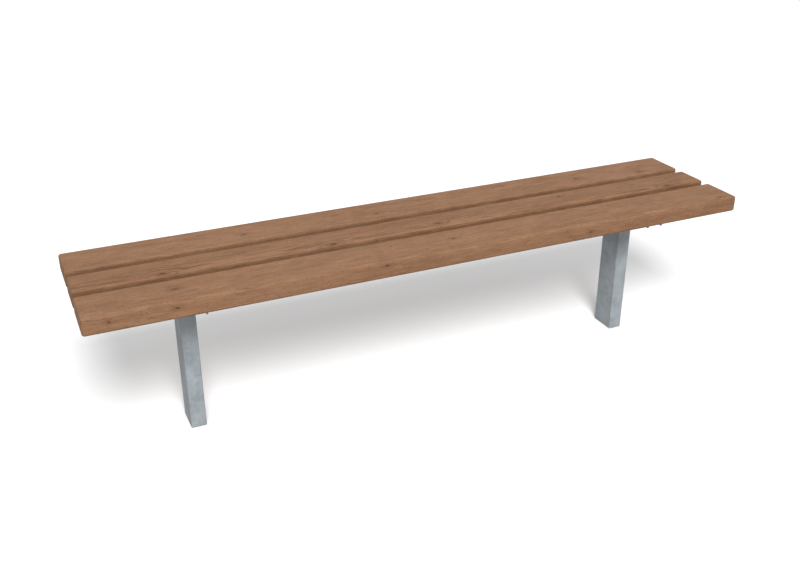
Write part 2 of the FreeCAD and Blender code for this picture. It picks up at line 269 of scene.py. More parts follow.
@dataclass(frozen=True)
class Blank:
    """A flat steel blank with round corners, holes and softened edges, before it is folded.

    Attributes:
        low: its lower end along the direction that gets folded.
        high: its upper end.
        half_length: half its size along the fold lines.
        low_corner: the radius of the two corners at the lower end.
        high_corner: the radius of the two corners at the upper end.
        sheet: its thickness.
        holes: its holes.
        edge: the radius of its softened edges.
        land: the plain metal kept round a hole, where the grid fans out to the circle.
        step: the spacing of its points along the direction that gets folded.
        length_step: the spacing along the fold lines.
        edge_steps: segments round a softened edge.
        corner_steps: segments round a corner.
        fan_steps: steps from the grid out to the outline or a hole.
    """

    low: float
    high: float
    half_length: float
    low_corner: float
    high_corner: float
    sheet: float
    holes: tuple[Hole, ...]
    edge: float = 0.5 * MILLIMETRE
    land: float = 3.5 * MILLIMETRE
    step: float = 1.0 * MILLIMETRE
    length_step: float = 3.0 * MILLIMETRE
    edge_steps: int = 3
    corner_steps: int = 6
    fan_steps: int = 4

    def grid(self, margin: float) -> np.ndarray:
        """A grid over the blank less a margin, with lines round the square land of each hole.

        Args:
            margin: the width left free inside the blank's outline.

        Returns:
            Places as run and along, shape (columns, rows, 2).
        """
        runs = [self.low + margin, self.high - margin]
        alongs = [margin - self.half_length, self.half_length - margin]
        for hole in self.holes:
            reach = hole.radius + self.land
            runs += [hole.run - reach, hole.run + reach]
            alongs += [hole.along - reach, hole.along + reach]
        columns = spaced(runs, self.step)
        rows = spaced(alongs, self.length_step)
        return np.stack(np.meshgrid(columns, rows, indexing="ij"), -1)

    def outline(self, grid: np.ndarray, margin: float) -> tuple[np.ndarray, ...]:
        """Match the grid's border to the blank's outline.

        Beside a side, the outline lies straight out from the border by the margin. At a corner the
        border's corner point fans out to a quarter circle.

        Args:
            grid: the grid inside the margin.
            margin: the margin's width.

        Returns:
            Border points, anchors, outward directions and reaches. The outline at some inset is the
            anchor, plus the direction times the reach less the inset.
        """
        sides = (grid[:, 0], grid[-1, :], grid[::-1, -1], grid[0, ::-1])
        radii = (self.high_corner, self.high_corner, self.low_corner, self.low_corner)
        inner, anchor, outward, reach = [], [], [], []
        for quarter, (side, radius) in enumerate(zip(sides, radii)):
            angle = np.linspace(quarter - 1, quarter, self.corner_steps + 1) * QUARTER_TURN
            arc = np.stack([np.cos(angle), np.sin(angle)], -1)
            centre = side[-1] + (margin - radius) * (arc[0] + arc[-1])
            inner += [side, np.broadcast_to(side[-1], arc.shape)]
            anchor += [side, np.broadcast_to(centre, arc.shape)]
            outward += [np.broadcast_to(arc[0], side.shape), arc]
            reach += [np.full((len(side), 1), margin), np.full((len(arc), 1), radius)]
        return tuple(np.concatenate(item) for item in (inner, anchor, outward, reach))

    def wall(self, anchor: np.ndarray, outward: np.ndarray, reach: np.ndarray) -> Patch:
        """The edge between the two skins: a quarter circle, a straight wall, a quarter circle.

        Args:
            anchor: points that the edge is measured from, shape (columns, 2).
            outward: directions from the metal outwards, shape (columns, 2).
            reach: distances from the anchors to the edge, shape (columns, 1).

        Returns:
            Points (n, 3), as run, along and lift, and faces.
        """
        inset, sunk = round_edge(self.edge, self.edge_steps)
        lift = self.sheet / 2 - sunk
        inset = np.concatenate([inset, inset[::-1]])[:, None, None]
        lift = np.concatenate([lift, -lift[::-1]])[:, None, None]
        flat = anchor + outward * (reach - inset)
        return loft(np.concatenate([flat, np.broadcast_to(lift, (*flat.shape[:2], 1))], -1))

    def patches(self) -> list[Patch]:
        """Cover both skins and every edge.

        Returns:
            Patches whose points are run, along and lift from the blank's middle surface.
        """
        margin = max(self.low_corner, self.high_corner) + self.edge
        grid = self.grid(margin)
        inner, anchor, outward, reach = self.outline(grid, margin)
        keep = np.ones((grid.shape[0] - 1, grid.shape[1] - 1), bool)
        share = np.linspace(0.0, 1.0, self.fan_steps + 1)[:, None, None]
        rings = [inner + (anchor + outward * (reach - self.edge) - inner) * share]
        walls = [self.wall(anchor, outward, reach)]
        for hole in self.holes:
            middle = np.array([hole.run, hole.along])
            corners = [middle - hole.radius - self.land, middle + hole.radius + self.land]
            first, last = (np.abs(grid[:, 0, 0] - corner[0]).argmin() for corner in corners)
            front, rear = (np.abs(grid[0, :, 1] - corner[1]).argmin() for corner in corners)
            keep[first:last, front:rear] = False
            square = border(grid[first : last + 1, front : rear + 1])
            away = (square - middle) / np.linalg.norm(square - middle, axis=-1, keepdims=True)
            rim = middle + away * (hole.radius + self.edge)
            rings.append(square + (rim - square) * share)
            walls.append(self.wall(middle, -away, np.array([[-hole.radius]])))
        skins = [(grid.reshape(-1, 2), grid_faces(*grid.shape[:2], False, False)[keep.ravel()])]
        skins += [(ring.reshape(-1, 2), grid_faces(*ring.shape[:2], False, True)) for ring in rings]
        both = []
        for points, faces in skins:
            for lift in (self.sheet / 2, -self.sheet / 2):
                both.append((np.column_stack([points, np.full(len(points), lift)]), faces))
        return both + walls


@dataclass(frozen=True)
class Fold:
    """A right-angle fold downwards in a steel sheet.

    Attributes:
        start: where along the flat sheet the fold begins.
        sheet: the sheet's thickness.
        inside: the fold's inside radius.
    """

    start: float
    sheet: float
    inside: float

    @property
    def radius(self) -> float:
        """The radius of the sheet's middle surface."""
        return self.inside + self.sheet / 2

    @property
    def end(self) -> float:
        """Where along the flat sheet the fold ends: a quarter circle past its start."""
        return self.start + self.radius * QUARTER_TURN

    def turn_down(self, run: np.ndarray, lift: np.ndarray) -> tuple[np.ndarray, np.ndarray]:
        """Carry points of the flat sheet round the fold.

        Up to the start a point stays where it is. Round the fold it lies on a circle whose radius is
        the fold's plus its lift. Past the fold it hangs straight down.

        Args:
            run: places along the flat sheet.
            lift: heights over the sheet's middle surface.

        Returns:
            Places along the unfolded direction, and heights over the flat part's middle surface.
        """
        angle = np.clip((run - self.start) / self.radius, 0.0, QUARTER_TURN)
        reach = self.radius + lift
        across = np.minimum(run, self.start) + reach * np.sin(angle)
        height = reach * np.cos(angle) - self.radius - np.maximum(run - self.end, 0.0)
        return across, height


def make_object(name: str, patches: Sequence[Patch], smooth_angle: float = 40.0) -> bpy.types.Object:
    """Make one mesh object from patches, with doubled points merged and faces outwards.

    Args:
        name: the object's name.
        patches: pairs of points (n, 3) and faces (m, 4).
        smooth_angle: edges that turn more than this many degrees stay sharp.

    Returns:
        The object, in the scene, at the origin.
    """
    counts = np.cumsum([0] + [len(points) for points, _ in patches])
    vertices = np.concatenate([points for points, _ in patches])
    faces = np.concatenate([face + start for (_, face), start in zip(patches, counts)])
    mesh = bpy.data.meshes.new(name)
    mesh.from_pydata(vertices.tolist(), [], faces.tolist())
    shape = bmesh.new()
    shape.from_mesh(mesh)
    bmesh.ops.remove_doubles(shape, verts=shape.verts, dist=MERGE_DISTANCE)
    bmesh.ops.dissolve_degenerate(shape, edges=shape.edges, dist=MERGE_DISTANCE / 2)
    bmesh.ops.recalc_face_normals(shape, faces=shape.faces)
    limit = math.radians(smooth_angle)
    for edge in shape.edges:
        edge.smooth = len(edge.link_faces) == 2 and edge.calc_face_angle(0.0) < limit
    for face in shape.faces:
        face.smooth = True
    shape.to_mesh(mesh)
    shape.free()
    mesh.update()
    piece = bpy.data.objects.new(name, mesh)
    bpy.context.scene.collection.objects.link(piece)
    return piece


def dress(piece: bpy.types.Object, material: bpy.types.Material) -> None:
    """Give a new piece its finish, let it ride on the bench's one body, and report it.

    Args:
        piece: the piece.
        material: its finish.
    """
    piece.data.materials.append(material)
    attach(piece, ROOT_BODY)
    LOG.info("%s: %d faces", piece.name, len(piece.data.polygons))


def corners_of(node: str) -> tuple[np.ndarray, np.ndarray]:
    """The lowest and highest corners of a CAD node's box."""
    low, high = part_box(node)
    return np.array(low), np.array(high)


def middle_of(node: str) -> np.ndarray:
    """The middle of a CAD node's box."""
    low, high = corners_of(node)
    return (low + high) / 2


def gap_between(node: str, other: str) -> float:
    """How far apart the middles of two CAD nodes are."""
    return float(np.linalg.norm(middle_of(node) - middle_of(other)))


@dataclass(frozen=True)
class Piece:
    """A maker of one visible piece, which stands for one CAD node.

    Attributes:
        node: the CAD node.
        slot: the material slot that the piece belongs to.
    """

    node: str
    slot: ClassVar[Slot]

    def dress(self, piece: bpy.types.Object, material: bpy.types.Material) -> None:
        """Let the piece stand for its CAD node, under its finish.

        Args:
            piece: the piece.
            material: its finish.
        """
        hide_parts(self.node)
        dress(piece, material)


# ---------------------------------------------------------------------------------------------
# Finishes
# ---------------------------------------------------------------------------------------------


class Graph:
    """The node tree of a material, a light or the world, with short ways to add and join nodes."""

    def __init__(self, owner: bpy.types.Material | bpy.types.Light | bpy.types.World) -> None:
        """Start with no nodes.

        Args:
            owner: what the nodes belong to.
        """
        owner.use_nodes = True
        self.owner = owner
        self.tree = owner.node_tree
        self.tree.nodes.clear()

    def add(self, kind: str, inputs: dict | None = None, **settings: str) -> bpy.types.Node:
        """Add a node.

        Args:
            kind: the node's type, without the ShaderNode prefix.
            inputs: socket name or number to a value, or to another node's output.
            **settings: the node's own properties.

        Returns:
            The node.
        """
        node = self.tree.nodes.new(f"ShaderNode{kind}")
        for key, value in settings.items():
            setattr(node, key, value)
        for key, value in (inputs or {}).items():
            if isinstance(value, Socket):
                self.tree.links.new(value, node.inputs[key])
            else:
                node.inputs[key].default_value = value
        return node

    def math(self, operation: str, *values: float | Socket) -> Socket:
        """Work out one number from others."""
        return self.add("Math", dict(enumerate(values)), operation=operation).outputs[0]

    def vector(self, operation: str, *values: Point | Socket) -> bpy.types.Node:
        """Work out a vector, or its length, from others."""
        return self.add("VectorMath", dict(enumerate(values)), operation=operation)

    def place(self, scale: Point, shift: Point = (0.0, 0.0, 0.0)) -> Socket:
        """Object coordinates, shifted and then scaled along each axis.

        Args:
            scale: cells per metre along each axis.
            shift: how far the coordinates move first.

        Returns:
            The place at which a pattern is read.
        """
        coordinates = self.add("TexCoord").outputs["Object"]
        shifted = self.vector("ADD", coordinates, shift).outputs[0]
        return self.vector("MULTIPLY", shifted, scale).outputs[0]

    def noise(self, place: Socket, detail: float = 2.0, roughness: float = 0.5) -> Socket:
        """Cloudy noise from 0 to 1 at a place that is already scaled."""
        inputs = {"Vector": place, "Scale": 1.0, "Detail": detail, "Roughness": roughness}
        return self.add("TexNoise", inputs).outputs["Fac"]

    def fit(
        self, value: Socket, low: float, high: float, to_low: float = 0.0, to_high: float = 1.0
    ) -> Socket:
        """Map a number's range to another along a cubic ease, held at both ends."""
        inputs = {0: value, 1: low, 2: high, 3: to_low, 4: to_high}
        return self.add("MapRange", inputs, interpolation_type="SMOOTHSTEP").outputs[0]

    def mix(self, share: float | Socket, first: Colour | Socket, second: Colour | Socket) -> Socket:
        """Blend two colours.

        Args:
            share: how much of the second colour shows.
            first: a colour, or another node's output.
            second: a colour, or another node's output.

        Returns:
            The blend.
        """
        node = self.add("Mix", data_type="RGBA")
        for socket, value in (("Factor_Float", share), ("A_Color", first), ("B_Color", second)):
            target = next(item for item in node.inputs if item.identifier == socket)
            if isinstance(value, Socket):
                self.tree.links.new(value, target)
            elif socket == "Factor_Float":
                target.default_value = value
            else:
                target.default_value = (*value, 1.0)
        return next(item for item in node.outputs if item.identifier == "Result_Color")

    def bump(self, height: Socket, distance: float) -> Socket:
        """Turn a height from 0 to 1 into a bent normal, for a relief this many metres deep."""
        return self.add("Bump", {"Height": height, "Distance": distance}).outputs["Normal"]

    def finish(self, **sockets: float | Socket) -> bpy.types.Material:
        """Join the shader to the output.

        Args:
            **sockets: a shader socket to its value, or to another node's output. A double
                underscore in its name stands for a space.

        Returns:
            The material.
        """
        shader = self.add("BsdfPrincipled")
        for key, value in sockets.items():
            socket = shader.inputs[key.replace("__", " ")]
            if isinstance(value, Socket):
                self.tree.links.new(value, socket)
            else:
                socket.default_value = value
        self.add("OutputMaterial", {"Surface": shader.outputs[0]})
        return self.owner


@dataclass(frozen=True)
class Knot:
    """Where a branch ran through a plank.

    Attributes:
        along: its place along X.
        across: its place across the face that it shows on: Y on the top, Z on the front.
        radius: its radius.
        between: the faces that it shows on.
    """

    along: float
    across: float
    radius: float
    between: Across = Across.TOP_AND_BOTTOM


@dataclass(frozen=True)
class GrainLayer:
    """One layer of noise in a timber's shade.

    Attributes:
        along: its cells per metre along the grain.
        across: its cells per metre across the grain.
        octaves: how many finer noises it holds.
        roughness: how strong each finer noise is beside the one before.
        low: the noise that darkens nothing.
        high: the noise that darkens by the whole weight.
        weight: how much it darkens.
    """

    along: float
    across: float
    octaves: float
    roughness: float = 0.5
    low: float = 0.36
    high: float = 0.64
    weight: float = 0.0

    def noise(self, graph: Graph, shift: Point) -> Socket:
        """The layer's own noise, from 0 to 1."""
        place = graph.place((self.along, self.across, self.across), shift)
        return graph.noise(place, self.octaves, self.roughness)

    def darken(self, graph: Graph, noise: Socket, shade: Socket) -> Socket:
        """Add the layer's part to a shade."""
        return graph.math("MULTIPLY_ADD", graph.fit(noise, self.low, self.high), self.weight, shade)


# Fibres and streaks lie along the grain; bands and clouds are how the stain took; specks are pores.
FIBRE = GrainLayer(34.0, 620.0, 3.0, 0.65, low=0.34, high=0.66, weight=0.24)
STREAK = GrainLayer(20.0, 220.0, 5.0, 0.65, weight=0.32)
BAND = GrainLayer(2.4, 28.0, 3.0, weight=0.17)
CLOUD = GrainLayer(12.0, 30.0, 4.0, 0.6, low=0.38, high=0.62, weight=0.13)
SPECK = GrainLayer(150.0, 400.0, 3.0, 0.6, low=0.57, high=0.66, weight=0.56)
RAGGED = GrainLayer(90.0, 260.0, 2.0)
SLOW_BEND = GrainLayer(1.1, 8.0, 2.0)
QUICK_BEND = GrainLayer(7.0, 55.0, 2.0)
# Patches in which the painted shade on the arrises and long side faces lies deeper or shallower.
SHADE_PATCHES = GrainLayer(26.0, 80.0, 3.0)
THIN_STAIN = GrainLayer(20.0, 90.0, 4.0)


@dataclass(frozen=True)
class StainedTimber:
    """Planed softwood under a brown stain.

    The grain is a log's growth rings round a pith that lies along X, so the top, the edges and the
    ends of a plank all cut the same rings.

    Attributes:
        name: the material's name.
        pith: the pith's place in Y and Z.
        knots: the plank's knots.
        seed: shifts the noise, so that no two planks match.
        pale: the colour of the soft early wood.
        dark: the colour of the hard late wood.
        warm: the colour where the stain has taken thinly.
        resin: the colour of the wood close round a knot.
        knot: the colour of a knot's heart.
        end: the colour of the ends, which drink more stain, and of the painted shade on the arrises
            and long side faces.
        ring: the width of one growth ring.
        knot_stretch: how much longer a knot is along the grain than across it.
        relief: how deep the grain stands in the surface.
        painted_side_shade: painted shade on the long front and back faces, which show at the front
            and in the gaps between planks.
        figure: how strongly the growth rings show.
        painted_arris_shade: painted shade on the arrises, which darkens them towards the end colour
            against the highlight that the light lays along them.
        stained_ends: how much darker it dried on the ends.
        contrast: how much of the layers' sum counts.
        warmth: how far the thinly stained patches turn warm.
        resin_share: how far the wood round a knot turns to the resin's colour.
        heart_share: how far a knot's heart turns to its own colour.
        slow_bend: how far slow waves bend the rings.
        quick_bend: how far quick waves bend them.
        knot_bend: how far a knot pushes them outwards.
    """

    name: str
    pith: tuple[float, float]
    knots: tuple[Knot, ...]
    seed: float
    painted_side_shade: float = 0.45
    figure: float = 0.40
    pale: Colour = (0.303, 0.167, 0.095)
    dark: Colour = (0.128, 0.058, 0.024)
    warm: Colour = (0.300, 0.138, 0.062)
    resin: Colour = (0.128, 0.057, 0.025)
    knot: Colour = (0.050, 0.021, 0.010)
    end: Colour = (0.085, 0.038, 0.018)
    ring: float = 3.6 * MILLIMETRE
    knot_stretch: float = 2.4
    relief: float = 0.25 * MILLIMETRE
    painted_arris_shade: float = 0.28
    stained_ends: float = 0.12
    contrast: float = 0.80
    warmth: float = 0.40
    resin_share: float = 0.38
    heart_share: float = 0.90
    slow_bend: float = 34 * MILLIMETRE
    quick_bend: float = 4.2 * MILLIMETRE
    knot_bend: float = 7 * MILLIMETRE

    def knot_field(self, graph: Graph, knot: Knot) -> Socket:
        """Distance from a knot's axis, in knot radii, drawn out along the grain.

        Args:
            graph: the material's nodes.
            knot: the knot.

        Returns:
            The distance.
        """
        along = 1 / (knot.radius * self.knot_stretch)
        across = 1 / knot.radius
        if knot.between is Across.TOP_AND_BOTTOM:
            place = graph.place((along, across, 0.0), (-knot.along, -knot.across, 0.0))
        else:
            place = graph.place((along, 0.0, across), (-knot.along, 0.0, -knot.across))
        return graph.vector("LENGTH", place).outputs["Value"]

    def late_wood(self, graph: Graph, shift: Point, nearest: Socket) -> Socket:
        """How far each point lies into a ring's dark late wood, from 0 to 1.

        The distance from the pith is bent by slow and quick waves and pushed outwards by the knots,
        then divided by the ring's width. Within a ring the shade rises slowly and drops at once.

        Args:
            graph: the material's nodes.
            shift: where this plank reads the noise.
            nearest: the distance from the nearest knot, in knot radii.

        Returns:
            The shade.
        """
        from_pith = graph.place((0.0, 1.0, 1.0), (0.0, -self.pith[0], -self.pith[1]))
        distance = graph.vector("LENGTH", from_pith).outputs["Value"]
        bent = graph.math("MULTIPLY_ADD", SLOW_BEND.noise(graph, shift), self.slow_bend, distance)
        bent = graph.math("MULTIPLY_ADD", QUICK_BEND.noise(graph, shift), self.quick_bend, bent)
        bent = graph.math("MULTIPLY_ADD", graph.fit(nearest, 6.0, 0.0), self.knot_bend, bent)
        phase = graph.math("FRACT", graph.math("DIVIDE", bent, self.ring))
        return graph.math("MULTIPLY", graph.math("POWER", phase, 2.0), graph.fit(phase, 1.0, 0.88))

    def build(self) -> bpy.types.Material:
        """Make the material.

        Returns:
            The material.
        """
        graph = Graph(bpy.data.materials.new(self.name))
        shift = (self.seed, self.seed * 0.37, self.seed * 0.61)
        fields = [self.knot_field(graph, knot) for knot in self.knots]
        nearest = fields[0]
        for field in fields[1:]:
            nearest = graph.math("MINIMUM", nearest, field)
        nearest = graph.math("SUBTRACT", nearest, 0.45)
        nearest = graph.math("MULTIPLY_ADD", RAGGED.noise(graph, shift), 0.7, nearest)
        late = self.late_wood(graph, shift, nearest)

        fibre = FIBRE.noise(graph, shift)
        shade = FIBRE.darken(graph, fibre, graph.math("MULTIPLY", late, self.figure))
        for layer in (STREAK, BAND, CLOUD, SPECK):
            shade = layer.darken(graph, layer.noise(graph, shift), shade)
        shade = graph.math("MINIMUM", graph.math("MULTIPLY", shade, self.contrast), 1.0)
        colour = graph.mix(shade, self.pale, self.dark)
        thin = THIN_STAIN.noise(graph, (shift[1], shift[2], shift[0]))
        colour = graph.mix(graph.fit(thin, 0.50, 0.70, 0.0, self.warmth), colour, self.warm)
        colour = graph.mix(graph.fit(nearest, 4.5, 0.8, 0.0, self.resin_share), colour, self.resin)
        heart = graph.fit(nearest, 1.10, 0.25)
        colour = graph.mix(graph.math("MULTIPLY", heart, self.heart_share), colour, self.knot)
        facing = graph.vector("ABSOLUTE", graph.add("NewGeometry").outputs["Normal"]).outputs[0]
        facing = graph.add("SeparateXYZ", {0: facing}).outputs
        squarest = graph.math("MAXIMUM", graph.math("MAXIMUM", facing[0], facing[1]), facing[2])
        # How deep the painted shade on the arrises and long side faces lies, patch by patch.
        shade_patches = graph.fit(SHADE_PATCHES.noise(graph, shift), 0.35, 0.65, 0.5, 1.0)
        # Painted shade on the arrises: where the surface turns between two faces it darkens towards
        # the end colour.
        arris = graph.fit(squarest, 0.93, 0.75, 0.0, self.painted_arris_shade)
        colour = graph.mix(graph.math("MULTIPLY", arris, shade_patches), colour, self.end)
        # Painted shade on the long front and back faces, which show at the front and in the gaps
        # between the planks.
        sides = graph.fit(facing[1], 0.6, 0.95, 0.0, self.painted_side_shade)
        colour = graph.mix(graph.math("MULTIPLY", sides, shade_patches), colour, self.end)
        colour = graph.mix(graph.fit(facing[0], 0.6, 0.95, 0.0, self.stained_ends), colour, self.end)

        height = graph.math("MULTIPLY_ADD", fibre, 0.5, graph.math("MULTIPLY", late, 0.45))
        height = graph.math("MULTIPLY_ADD", heart, 0.4, height)
        return graph.finish(
            Base__Color=colour,
            Roughness=graph.math("MULTIPLY_ADD", late, -0.10, 0.68),
            Normal=graph.bump(height, self.relief),
            Specular__IOR__Level=0.20,
        )


@dataclass(frozen=True)
class ZincCoat:
    """Zinc on steel: dull blue-grey patches and crystals over a faintly rippled skin.

    Attributes:
        name: the material's name.
        light: the palest zinc.
        dull: the darkest zinc.
        weathered: the greener tint of patches that dulled first.
        crystal: the width of one crystal.
        metallic: how much the coat mirrors rather than scatters.
        roughness: the coat's mean roughness.
        relief: how deep the skin's ripples are.
        tone_share: how much the crystals' own tones lighten the coat.
        patch_share: how much its cloudy patches do.
        run_share: how much its upright runs do.
        frost_share: how much its fine frost does.
    """

    name: str
    light: Colour
    dull: Colour
    weathered: Colour
    crystal: float
    metallic: float
    roughness: float
    relief: float = 0.12 * MILLIMETRE
    tone_share: float = 0.30
    patch_share: float = 0.36
    run_share: float = 0.16
    frost_share: float = 0.18

    def build(self) -> bpy.types.Material:
        """Make the material.

        Returns:
            The material.
        """
        graph = Graph(bpy.data.materials.new(self.name))
        per_metre = 1.0 / self.crystal
        wander = graph.add(
            "TexNoise", {"Vector": graph.place((per_metre * 0.8,) * 3), "Scale": 1.0, "Detail": 2.0}
        ).outputs["Color"]
        bent = graph.vector("MULTIPLY_ADD", wander, (0.9,) * 3, graph.place((per_metre,) * 3))
        crystals = graph.add("TexVoronoi", {"Vector": bent.outputs[0], "Scale": 1.0})
        tone = graph.add("SeparateColor", {0: crystals.outputs["Color"]}).outputs[0]
        patch = graph.noise(graph.place((21.0, 21.0, 15.0)), 2.0)
        run = graph.noise(graph.place((150.0, 150.0, 9.0)), 2.0)
        frost = graph.noise(graph.place((900.0,) * 3), 2.0)
        shade = graph.math("MULTIPLY", tone, self.tone_share)
        patched = graph.fit(patch, 0.34, 0.66)
        shade = graph.math("MULTIPLY_ADD", patched, self.patch_share, shade)
        shade = graph.math("MULTIPLY_ADD", graph.fit(run, 0.30, 0.70), self.run_share, shade)
        shade = graph.math("MULTIPLY_ADD", frost, self.frost_share, shade)
        colour = graph.mix(shade, self.dull, self.light)
        elsewhere = (3.0, 1.0, 2.0)
        tint = graph.noise(graph.place((26.0, 26.0, 14.0), elsewhere), 2.0)
        colour = graph.mix(graph.fit(tint, 0.48, 0.68, 0.0, 0.5), colour, self.weathered)
        ripple = graph.noise(graph.place((160.0,) * 3), 3.0)
        return graph.finish(
            Base__Color=colour,
            Metallic=self.metallic,
            Roughness=graph.math("MULTIPLY_ADD", tone, 0.12, self.roughness - 0.06),
            Normal=graph.bump(graph.math("MULTIPLY_ADD", frost, 0.15, ripple), self.relief),
        )


GALVANISED = ZincCoat(
    name="galvanised_steel",
    light=(0.354, 0.389, 0.412),
    dull=(0.204, 0.227, 0.247),
    weathered=(0.264, 0.299, 0.312),
    crystal=11 * MILLIMETRE,
    metallic=0.12,
    roughness=0.58,
)
PLATED = ZincCoat(
    name="zinc_fastener",
    light=(0.480, 0.490, 0.500),
    dull=(0.330, 0.340, 0.350),
    weathered=(0.400, 0.405, 0.380),
    crystal=4 * MILLIMETRE,
    metallic=0.85,
    roughness=0.36,
    relief=0.04 * MILLIMETRE,
)


# ---------------------------------------------------------------------------------------------
# Seat
# ---------------------------------------------------------------------------------------------


@dataclass(frozen=True)
class Plank(Piece):
    """One seat plank: a planed board, rounded on every arris, very slightly uneven.

    Attributes:
        timber: its finish.
        seed: picks its unevenness.
        arris: the radius of its rounded edges.
        unevenness: the deepest hollow that planing and drying leave.
        step: the spacing of its points along X.
        width_steps: segments across its top.
        depth_steps: segments down its sides.
        arris_steps: segments round its arrises where they turn onto its ends.
        end_rings: rings of points that close each end face.
    """

    slot: ClassVar[Slot] = Slot.TIMBER
    timber: StainedTimber
    seed: int
    arris: float = 7 * MILLIMETRE
    unevenness: float = 0.35 * MILLIMETRE
    step: float = 3 * MILLIMETRE
    width_steps: int = 44
    depth_steps: int = 16
    arris_steps: int = 6
    end_rings: int = 7

    def stations(self, half_length: float, half_depth: float) -> tuple[np.ndarray, np.ndarray]:
        """Places along X of the plank's rings of points, and how far each ring is inset.

        From the middle of one end face the rings grow outwards, turn the rounded arris on a quarter
        circle, run along the plank, and do the same in reverse at the other end.

        Args:
            half_length: half the plank's length.
            half_depth: half its thickness, where the end rings shrink to a line.

        Returns:
            Places along X and insets, both of shape (rows,).
        """
        face_inset = np.linspace(half_depth, self.arris, self.end_rings + 1)[:-1]
        round_inset, sunk = round_edge(self.arris, self.arris_steps)
        run = spaced([0.0, half_length - self.arris], self.step)[-2::-1]
        end_x = np.concatenate([np.full(len(face_inset), half_length), half_length - sunk, run])
        end_inset = np.concatenate([face_inset, round_inset, np.zeros(len(run))])
        x = np.concatenate([-end_x, end_x[-2::-1]])
        return x, np.concatenate([end_inset, end_inset[-2::-1]])

    def hollows(self, points: np.ndarray) -> np.ndarray:
        """How deep the surface lies below a perfect board: long waves and shorter chatter.

        Args:
            points: places on the board, shape (..., 3).

        Returns:
            Depths, shape (...).
        """
        waves = smooth_noise(points * np.array([3.0, 24.0, 24.0]), self.seed)
        chatter = smooth_noise(points * np.array([14.0, 90.0, 90.0]), self.seed + 1)
        return self.unevenness * (0.7 * waves + 0.3 * chatter)

    def build(self) -> bpy.types.Object:
        """Make the plank's surface.

        The outline is a rounded rectangle carried along X. Every point then sinks along its own
        outward direction by the depth of the hollows there.

        Returns:
            The plank.
        """
        low, high = corners_of(self.node)
        half = (high - low) / 2
        outline = RoundedRectangle(half[1], half[2], self.arris, self.width_steps, self.depth_steps)
        x, inset = self.stations(half[0], half[2])
        loops, outward = outline.loop(inset)
        tilt = np.clip((np.abs(x) - (half[0] - self.arris)) / self.arris, 0.0, 1.0)[:, None]
        along = np.broadcast_to(x[:, None, None], (*loops.shape[:2], 1))
        end_facing = np.broadcast_to((tilt * np.sign(x)[:, None])[..., None], along.shape)
        facing = np.concatenate([end_facing, outward * np.sqrt(1.0 - tilt**2)[..., None]], -1)
        points = np.concatenate([along, loops], -1) + (low + high) / 2
        points = points - facing * self.hollows(points)[..., None]
        return make_object(f"{self.node}_board", [loft(points)], smooth_angle=60.0)


def front_plank() -> Plank:
    """The front plank, with knots on its top and on its front edge.

    Returns:
        The plank.
    """
    knots = (
        Knot(-0.690, 0.424, 2.7 * MILLIMETRE, Across.FRONT_AND_BACK),
        Knot(-0.840, 0.421, 2.3 * MILLIMETRE, Across.FRONT_AND_BACK),
        Knot(-0.180, 0.431, 2.7 * MILLIMETRE, Across.FRONT_AND_BACK),
        Knot(0.410, 0.415, 2.3 * MILLIMETRE, Across.FRONT_AND_BACK),
        Knot(-0.680, -0.126, 3.4 * MILLIMETRE),
        Knot(0.030, -0.129, 3.0 * MILLIMETRE),
        Knot(0.853, -0.177, 2.6 * MILLIMETRE),
    )
    # The front plank gets less painted shade on its long side faces than the other two.
    timber = StainedTimber("front_timber", (-0.145, 0.36), knots, 1.7, painted_side_shade=0.14)
    return Plank("front_plank", timber, 11)


def middle_plank() -> Plank:
    """The middle plank, the knottiest of the three.

    Returns:
        The plank.
    """
    knots = (
        Knot(-0.260, -0.036, 4.4 * MILLIMETRE),
        Knot(0.040, -0.022, 3.4 * MILLIMETRE),
        Knot(0.777, -0.039, 4.6 * MILLIMETRE),
        Knot(-0.690, -0.032, 3.8 * MILLIMETRE),
        Knot(0.440, 0.015, 2.6 * MILLIMETRE),
    )
    timber = StainedTimber("middle_timber", (-0.030, 0.36), knots, 5.3, figure=0.85)
    return Plank("middle_plank", timber, 23)


def back_plank() -> Plank:
    """The back plank, the cleanest of the three.

    Returns:
        The plank.
    """
    knots = (
        Knot(0.780, 0.094, 3.2 * MILLIMETRE),
        Knot(0.570, 0.124, 3.0 * MILLIMETRE),
        Knot(-0.449, 0.118, 3.2 * MILLIMETRE),
        Knot(-0.080, 0.110, 2.6 * MILLIMETRE),
    )
    return Plank("back_plank", StainedTimber("back_timber", (0.150, 0.35), knots, 9.1), 37)


# ---------------------------------------------------------------------------------------------
# Steelwork
# ---------------------------------------------------------------------------------------------


